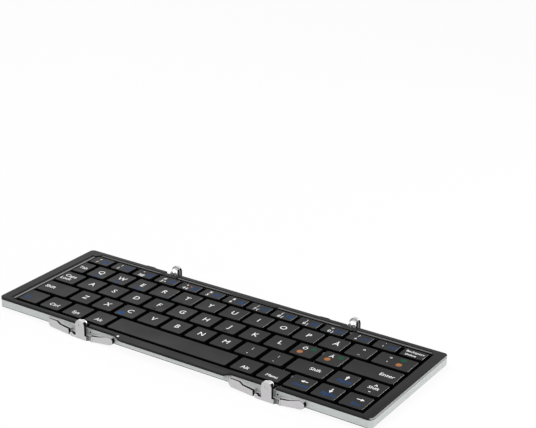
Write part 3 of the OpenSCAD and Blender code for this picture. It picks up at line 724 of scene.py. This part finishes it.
def cap_blank(width, depth):
    """One cap at the origin: drafted sides, rounded corners and edges, and a shallow dish."""
    bpy.ops.mesh.primitive_cube_add(size=1, location=(0, 0, CAP_HEIGHT / 2),
                                    scale=(width, depth, CAP_HEIGHT))
    cap = bpy.context.object
    bpy.ops.object.transform_apply(location=True, scale=True)
    start_edit(cap, "EDGE")
    pick(cap, "EDGE", lambda edge: abs(edge.verts[0].co.z - edge.verts[1].co.z) > CAP_HEIGHT / 2)
    bpy.ops.mesh.bevel(offset=KEY_ROUND, segments=5)
    pick(cap, "FACE", lambda face: face.normal.z > FACING)
    bpy.ops.transform.resize(value=(1 - (DRAFT_LEFT + DRAFT_RIGHT) / width,
                                    1 - (DRAFT_FRONT + DRAFT_BACK) / depth, 1))
    bpy.ops.transform.translate(value=((DRAFT_LEFT - DRAFT_RIGHT) / 2,
                                       (DRAFT_FRONT - DRAFT_BACK) / 2, 0))
    bpy.ops.mesh.inset(thickness=CAP_RIM)
    bpy.ops.transform.translate(value=(0, 0, -CAP_DISH))
    pick(cap, "EDGE", lambda edge: all(abs(vertex.co.z - CAP_HEIGHT) < 0.01 for vertex in edge.verts)
         and any(abs(face.normal.z) < 0.5 for face in edge.link_faces))
    bpy.ops.mesh.bevel(offset=CAP_EDGE, segments=3)
    pick(cap, "FACE", lambda face: face.normal.z < -FACING)
    bpy.ops.mesh.inset(thickness=CAP_WALL)
    bpy.ops.transform.translate(value=(0, 0, CAP_HEIGHT - CAP_ROOF))
    stop_edit()
    return cap


CAP_BLANKS = {}


def cap_at(row, left, right):
    """A copy of the blank of its size, over the key space between two columns."""
    width = round((right - left) * UNIT - KEY_GAP, 3)
    depth = round(ROW_HIGH[row] - ROW_LOW[row], 3)
    if (width, depth) not in CAP_BLANKS:
        CAP_BLANKS[width, depth] = cap_blank(width, depth)
    middle = ((column_x(left) + column_x(right)) / 2, (ROW_LOW[row] + ROW_HIGH[row]) / 2, CAP_LOW)
    return copy_of(CAP_BLANKS[width, depth], middle)


# Nodes of the caps towards the right and the back, whose right edges get a painted highlight; the right
# edges of the other caps get painted shade
PAINTED_HIGHLIGHT_CAPS = {"right_number_keys", "backspace_key", "right_upper_keys", "right_home_key", "enter_key",
               "right_shift_key", "corner_key", "arrow_keys", "centre_number_keys", "centre_upper_keys"}


def on_right_edge(face):
    """Whether a face of a cap is in the rounding along the right edge of its top."""
    return (face.normal.x > 0.2 and 0.5 < face.normal.z < 0.95
            and face.center.z > (KEY_TOP - 2 * CAP_EDGE) * MM)


def make_caps():
    for node, rows in KEY_ROWS.items():
        caps = []
        for row, columns in rows:
            caps += [cap_at(row, left, right) for left, right in zip(columns, columns[1:])]
        whole = to_metres(joined(caps, node.replace("_keys", "_caps").replace("_key", "_cap")))
        smooth_by_angle(whole, 40)
        finish_piece(whole, node, KEY_PLASTIC, [node])
        # Painted shade on the sides of the caps
        second_finish(whole, CAP_SIDE_PAINTED_SHADE, lambda face: face.normal.z < 0.6)
        # Painted highlight on the right edges of these caps, and painted shade on the right edges of the
        # others
        edge = CHAMFER_PAINTED_HIGHLIGHT if node in PAINTED_HIGHLIGHT_CAPS else CAP_SIDE_PAINTED_SHADE
        second_finish(whole, edge, on_right_edge)
    for blank in CAP_BLANKS.values():
        bpy.data.objects.remove(blank)


# Printed marks on the caps: generic letters, digits, arrows and plain words

# Sizes of the signs, in millimetres, and how much their strokes are thickened
LETTER = 5.5
DIGIT = 3.7
SMALL = 3.2
WORD = 4.1
BOLD = 0.04
INKS = {"white": WHITE_INK, "blue": BLUE_INK, "orange": ORANGE_INK, "green": GREEN_INK}

# How far the ink stands over the dish and reaches into the cap
MARK_RISE = 0.012
MARK_SINK = 0.02
MARK_THICK = MARK_RISE + MARK_SINK
MARK_Z = KEY_TOP - CAP_DISH + (MARK_RISE - MARK_SINK) / 2


# A mark is its text, its place to the right and to the back of the cap's middle, its size and its ink


def letter(sign, across=0):
    """Marks of a letter key, centred a little above the middle."""
    return [(sign, across, 0.5, LETTER, "white")]


def digit(shifted, plain, function, third="", extra=(), across=0, size=4.8):
    """Marks of a key in the back row: a sign over a digit, a third sign beside it, a function word."""
    return [
        (shifted, across - 2.6, 2.0, DIGIT * 0.85, "white"),
        (plain, across - 2.8, -1.7, DIGIT, "white"),
        (third, across - 0.6, -1.9, DIGIT * 0.8, "white"),
        (function, 3.8, 0, size, "blue"),
        *extra,
    ]


def two_signs(shifted, plain, at=-1.5):
    return [(shifted, at, 2.6, DIGIT, "white"), (plain, at, -2.6, DIGIT, "white")]


def word(text, across, up=-1.0, size=WORD, ink="white"):
    return [(text, across, up, size, ink)]


# Marks of each key, by its row and first column
MARKS = {
    (4, 0): digit("+", "/", "Esc"),
    (4, 1): digit("!", "1", "F1"),
    (4, 2): digit('"', "2", "F2", "@"),
    (4, 3): digit("#", "3", "F3", "*"),
    (4, 4): digit("+", "4", "F4", "$", [("x", 0.6, 1.8, SMALL, "orange")]),
    (4, 5): digit("%", "5", "F5", across=0.5),
    (4, 6): digit("&", "6", "F6", across=0.5),
    (4, 7): digit("/", "7", "F7", "{", across=0.5),
    (4, 8): digit("(", "8", "F8", "[", across=0.6),
    (4, 9): digit(")", "9", "F9", "]", across=0.6),
    (4, 10): digit("=", "0", "F10", "}", across=0.6, size=4.2),
    (4, 11): digit("?", "+", "F11", across=0.9, size=3.6),
    (4, 12): digit("`", "'", "F12", across=0.9, size=3.6),
    (4, 13): word("Backspace", 0.2, 1.9, 2.7) + word("Delete", -0.9, -1.9, 2.5),
    (3, 0): word("Tab", -0.6, 0.2, 3.9),
    (3, 0.65): letter("Q") + word("|<", 0.4, -4.3, 4.6, "blue"),
    (3, 1.6): letter("W") + word("||", 0.2, -4.3, 4.4, "blue"),
    (3, 2.55): letter("E") + word(">|", 0.2, -4.3, 4.6, "blue"),
    (3, 3.5): letter("R") + word("o", 4.2, -3.6, SMALL, "blue"),
    (3, 4.5): letter("T"),
    (3, 5.5): letter("Y"),
    (3, 6.5): letter("U"),
    (3, 7.5): letter("I"),
    (3, 8.5): letter("O"),
    (3, 9.5): letter("P"),
    (3, 10.5): letter("\u00c5", 1.2),
    (3, 11.5): two_signs("^", "..", 0.6),
    (3, 12.5): two_signs("*", "'", -3.8),
    (2, 0): word("Caps", -1.2, 2.3, 4.2) + word("Lock", -2.3, -1.7, 4.0),
    (2, 1): letter("A"),
    (2, 2): letter("S"),
    (2, 3): letter("D"),
    (2, 4): letter("F"),
    (2, 5): letter("G"),
    (2, 6): letter("H"),
    (2, 7): letter("J"),
    (2, 8): letter("K"),
    (2, 9): letter("L"),
    (2, 10): [("\u00d6", -1.9, 2.6, 4.0, "white")],
    (2, 11): [("\u00c4", -1.7, 2.6, 4.0, "white")],
    (2, 12): word("Enter", 8.3, 0.4),
    (1, 0): word("Shift", -6.0, 0.3),
    (1, 1.5): letter("Z"),
    (1, 2.5): letter("X"),
    (1, 3.5): letter("C"),
    (1, 4.5): letter("V"),
    (1, 5.5): letter("B"),
    (1, 6.5): letter("N"),
    (1, 7.5): letter("M"),
    (1, 8.5): two_signs(";", ",", 0),
    (1, 9.5): two_signs(":", ".", 0),
    (1, 10.5): word("Shift", 3.2, 0.6, 3.9),
    (1, 12): word("PgUp", 1.3, -1.6, 4.0, "blue"),
    (1, 13): word("^", 0.5, 3.0, 5.0) + word("Shift", 0.6, 0.8, 3.7) + word("-", 0.6, -3.2, 5.0),
    (0, 0): word("Fn", -3.0, -1.8, 4.6, "blue"),
    (0, 1): word("Ctrl", 0.2, -1.4),
    (0, 2): word("Sys", 0.3, -2.0),
    (0, 3): word("Alt", 0.2, -2.0),
    (0, 9): word("Alt", 0.2, -2.0),
    (0, 10): word("Menu", 0.4, -2.0, 3.4),
    (0, 11): word("Home", 1.2, -1.8, 3.7, "blue"),
    (0, 12): word("PgDn", 1.4, -1.9, 4.0, "blue"),
    (0, 13): word("End", 1.2, -2.5, 3.5, "blue"),
}

# Arrow marks: key, turn in degrees from pointing back, place on the cap
ARROWS = {
    (1, 12): (0, 0.8, 2.3),
    (0, 11): (90, 1.2, 2.6),
    (0, 12): (180, 0.8, 2.4),
    (0, 13): (270, 1.2, 2.6),
}
ARROW_SHAFT = (0.7, 2.4)
ARROW_SHAFT_Y = -0.9
ARROW_HEAD = 1.35
ARROW_HEAD_Y = 1.0

# Round marks: key, place on the cap, ink
DOTS = {
    (1, 3.5): [(-3.6, -3.4, "blue")],
    (3, 12.5): [(3.4, 4.2, "green"), (3.4, -1.6, "orange")],
    (2, 10): [(3.0, 3.8, "green"), (-2.4, -2.2, "orange")],
    (2, 11): [(3.2, 3.6, "green"), (-2.2, -1.4, "orange")],
}
DOT_RADIUS = 1.75
DOT_RING = 0.3

# Touch bars on the two home keys: size, rounding, and place from the middle of the cap's dish
TOUCH_KEYS = [(2, 4), (2, 7)]
TOUCH_BAR = (3.2, 0.7, 0.3)
TOUCH_EDGE = 0.12
TOUCH_FRONT = 4.4
TOUCH_RISE = 0.06


def key_spaces():
    """Every key: its node, row, first column and the middle of its cap."""
    for node, rows in KEY_ROWS.items():
        for row, columns in rows:
            for left, right in zip(columns, columns[1:]):
                yield (node, row, left, (column_x(left) + column_x(right)) / 2,
                       (ROW_LOW[row] + ROW_HIGH[row]) / 2)


def printed_text(text, size, x, y):
    bpy.ops.object.text_add(location=(0, 0, 0))
    mark = bpy.context.object
    mark.data.body = text
    mark.data.size = size
    mark.data.align_x = "CENTER"
    mark.data.align_y = "CENTER"
    mark.data.resolution_u = 4
    mark.data.extrude = MARK_THICK / 2
    mark.data.offset = BOLD
    only(mark)
    bpy.ops.object.convert(target="MESH")
    mark = bpy.context.object
    mark.data.transform(Matrix.Translation((x, y, MARK_Z)))
    return mark


def printed_arrow(turn, x, y):
    """A shaft and a three-cornered head, turned on the cap."""
    bpy.ops.mesh.primitive_cube_add(size=1, location=(0, ARROW_SHAFT_Y, 0),
                                    scale=(*ARROW_SHAFT, MARK_THICK))
    shaft = bpy.context.object
    bpy.ops.object.transform_apply(location=True, scale=True)
    bpy.ops.mesh.primitive_cylinder_add(vertices=3, radius=ARROW_HEAD, depth=MARK_THICK,
                                        location=(0, ARROW_HEAD_Y, 0))
    head = bpy.context.object
    bpy.ops.object.transform_apply(location=True)
    arrow = joined([shaft, head], "arrow")
    arrow.data.transform(Matrix.Translation((x, y, MARK_Z)) @ Matrix.Rotation(math.radians(turn), 4, "Z"))
    return arrow


def printed_dot(x, y):
    """A filled dot with a ring of its own faces."""
    bpy.ops.mesh.primitive_cylinder_add(vertices=28, radius=DOT_RADIUS, depth=MARK_THICK)
    dot = bpy.context.object
    start_edit(dot, "FACE")
    pick(dot, "FACE", lambda face: face.normal.z > 0.9)
    bpy.ops.mesh.inset(thickness=DOT_RADIUS * DOT_RING)
    stop_edit()
    dot.data.transform(Matrix.Translation((x, y, MARK_Z)))
    return dot


def make_marks():
    sheets = {}
    for node, row, column, x, y in key_spaces():
        place = (row, column)
        for text, across, up, size, ink in MARKS.get(place, []):
            if not text:
                continue
            sheets.setdefault((node, ink), []).append(printed_text(text, size, x + across, y + up))
        if place in ARROWS:
            turn, across, up = ARROWS[place]
            sheets.setdefault((node, "white"), []).append(printed_arrow(turn, x + across, y + up))
        for across, up, ink in DOTS.get(place, []):
            sheets.setdefault((node, ink), []).append(printed_dot(x + across, y + up))
    for (node, ink), marks in sheets.items():
        sheet = to_metres(joined(marks, f"{node}_{ink}_marks"))
        finish_piece(sheet, node, INKS[ink])


def make_touch_bars():
    for node, row, column, x, y in key_spaces():
        if (row, column) in TOUCH_KEYS:
            place = (x, y - TOUCH_FRONT, KEY_TOP - CAP_DISH + TOUCH_RISE)
            bpy.ops.mesh.primitive_cube_add(size=1, location=place, scale=TOUCH_BAR)
            bar = bpy.context.object
            bpy.ops.object.transform_apply(location=True, scale=True)
            apply_modifier(bar, "BEVEL", width=TOUCH_EDGE, segments=3)
            bar.name = f"touch_bar_{column:g}"
            smooth_by_angle(bar)
            finish_piece(to_metres(bar), node, KEY_PLASTIC)


make_shells()
make_hinges()
make_plate_seams()
make_feet()
paint_inside()
make_caps()
make_marks()
make_touch_bars()


# Room, light and camera


def seen_white(tree, lit, share=1.0):
    """Mixes white light into a shader for camera, glossy and transmission rays, and returns the mix."""
    white = tree.nodes.new("ShaderNodeEmission")
    path = tree.nodes.new("ShaderNodeLightPath")
    seen = path.outputs["Is Camera Ray"]
    for ray in ("Is Glossy Ray", "Is Transmission Ray"):
        either = tree.nodes.new("ShaderNodeMath")
        either.operation = "MAXIMUM"
        tree.links.new(seen, either.inputs[0])
        tree.links.new(path.outputs[ray], either.inputs[1])
        seen = either.outputs[0]
    part = tree.nodes.new("ShaderNodeMath")
    part.operation = "MULTIPLY"
    part.inputs[1].default_value = share
    tree.links.new(seen, part.inputs[0])
    mix = tree.nodes.new("ShaderNodeMixShader")
    tree.links.new(part.outputs[0], mix.inputs["Fac"])
    tree.links.new(lit, mix.inputs[1])
    tree.links.new(white.outputs[0], mix.inputs[2])
    return mix.outputs[0]


# How white the floor is seen, and the strength of the world's light
FLOOR_WHITE = 0.92
SKY = 0.35


def make_floor():
    bpy.ops.mesh.primitive_plane_add(size=6, location=(0, 0, 0))
    floor = bpy.context.object
    floor.name = "floor"
    material = bpy.data.materials.new("pale_floor")
    material.use_nodes = True
    tree = material.node_tree
    shader = tree.nodes["Principled BSDF"]
    shader.inputs["Base Color"].default_value = (0.9, 0.9, 0.9, 1)
    shader.inputs["Roughness"].default_value = 0.9
    surface = tree.nodes["Material Output"].inputs["Surface"]
    tree.links.new(seen_white(tree, shader.outputs[0], FLOOR_WHITE), surface)
    floor.data.materials.append(material)


def make_world():
    world = bpy.data.worlds.new("studio")
    bpy.context.scene.world = world
    world.use_nodes = True
    tree = world.node_tree
    lit = tree.nodes["Background"]
    lit.inputs["Color"].default_value = (1, 1, 1, 1)
    lit.inputs["Strength"].default_value = SKY
    tree.links.new(seen_white(tree, lit.outputs[0]), tree.nodes["World Output"].inputs["Surface"])


# Area lamps: name, place, aim and size in metres, and watts
LAMPS = [
    ("top_light", (-0.3, -0.1, 1.1), (0, 0, 0), (0.8, 0.8), 7),
    ("side_light", (1.0, -0.1, 0.45), (0, 0, 0), (0.5, 0.5), 4.3),
    ("front_light", (-0.1, -1.0, 0.3), (0, 0, 0), (0.5, 0.3), 1.8),
    ("back_left_light", (-0.85, 0.85, 0.5), (-0.12, 0, 0), (0.5, 0.4), 0.9),
    ("back_right_light", (0.42, 0.5, 0.34), (0.12, 0, 0), (0.14, 0.14), 0.9),
]


def add_lamp(name, place, aim, size, power):
    bpy.ops.object.light_add(type="AREA", location=place)
    lamp = bpy.context.object
    lamp.name = name
    lamp.data.shape = "RECTANGLE"
    lamp.data.size, lamp.data.size_y = size
    lamp.data.energy = power
    lamp.rotation_euler = (Vector(aim) - Vector(place)).to_track_quat("-Z", "Y").to_euler()


def make_camera():
    data = bpy.data.cameras.new("camera")
    data.lens = CAMERA_LENS
    data.sensor_width = CAMERA_SENSOR
    camera = bpy.data.objects.new("camera", data)
    camera.location = CAMERA_PLACE
    camera.rotation_euler = [math.radians(a) for a in CAMERA_TURN]
    bpy.context.scene.collection.objects.link(camera)
    bpy.context.scene.camera = camera


make_floor()
make_world()
for lamp in LAMPS:
    add_lamp(*lamp)
make_camera()
bpy.context.scene.view_settings.view_transform = "Standard"
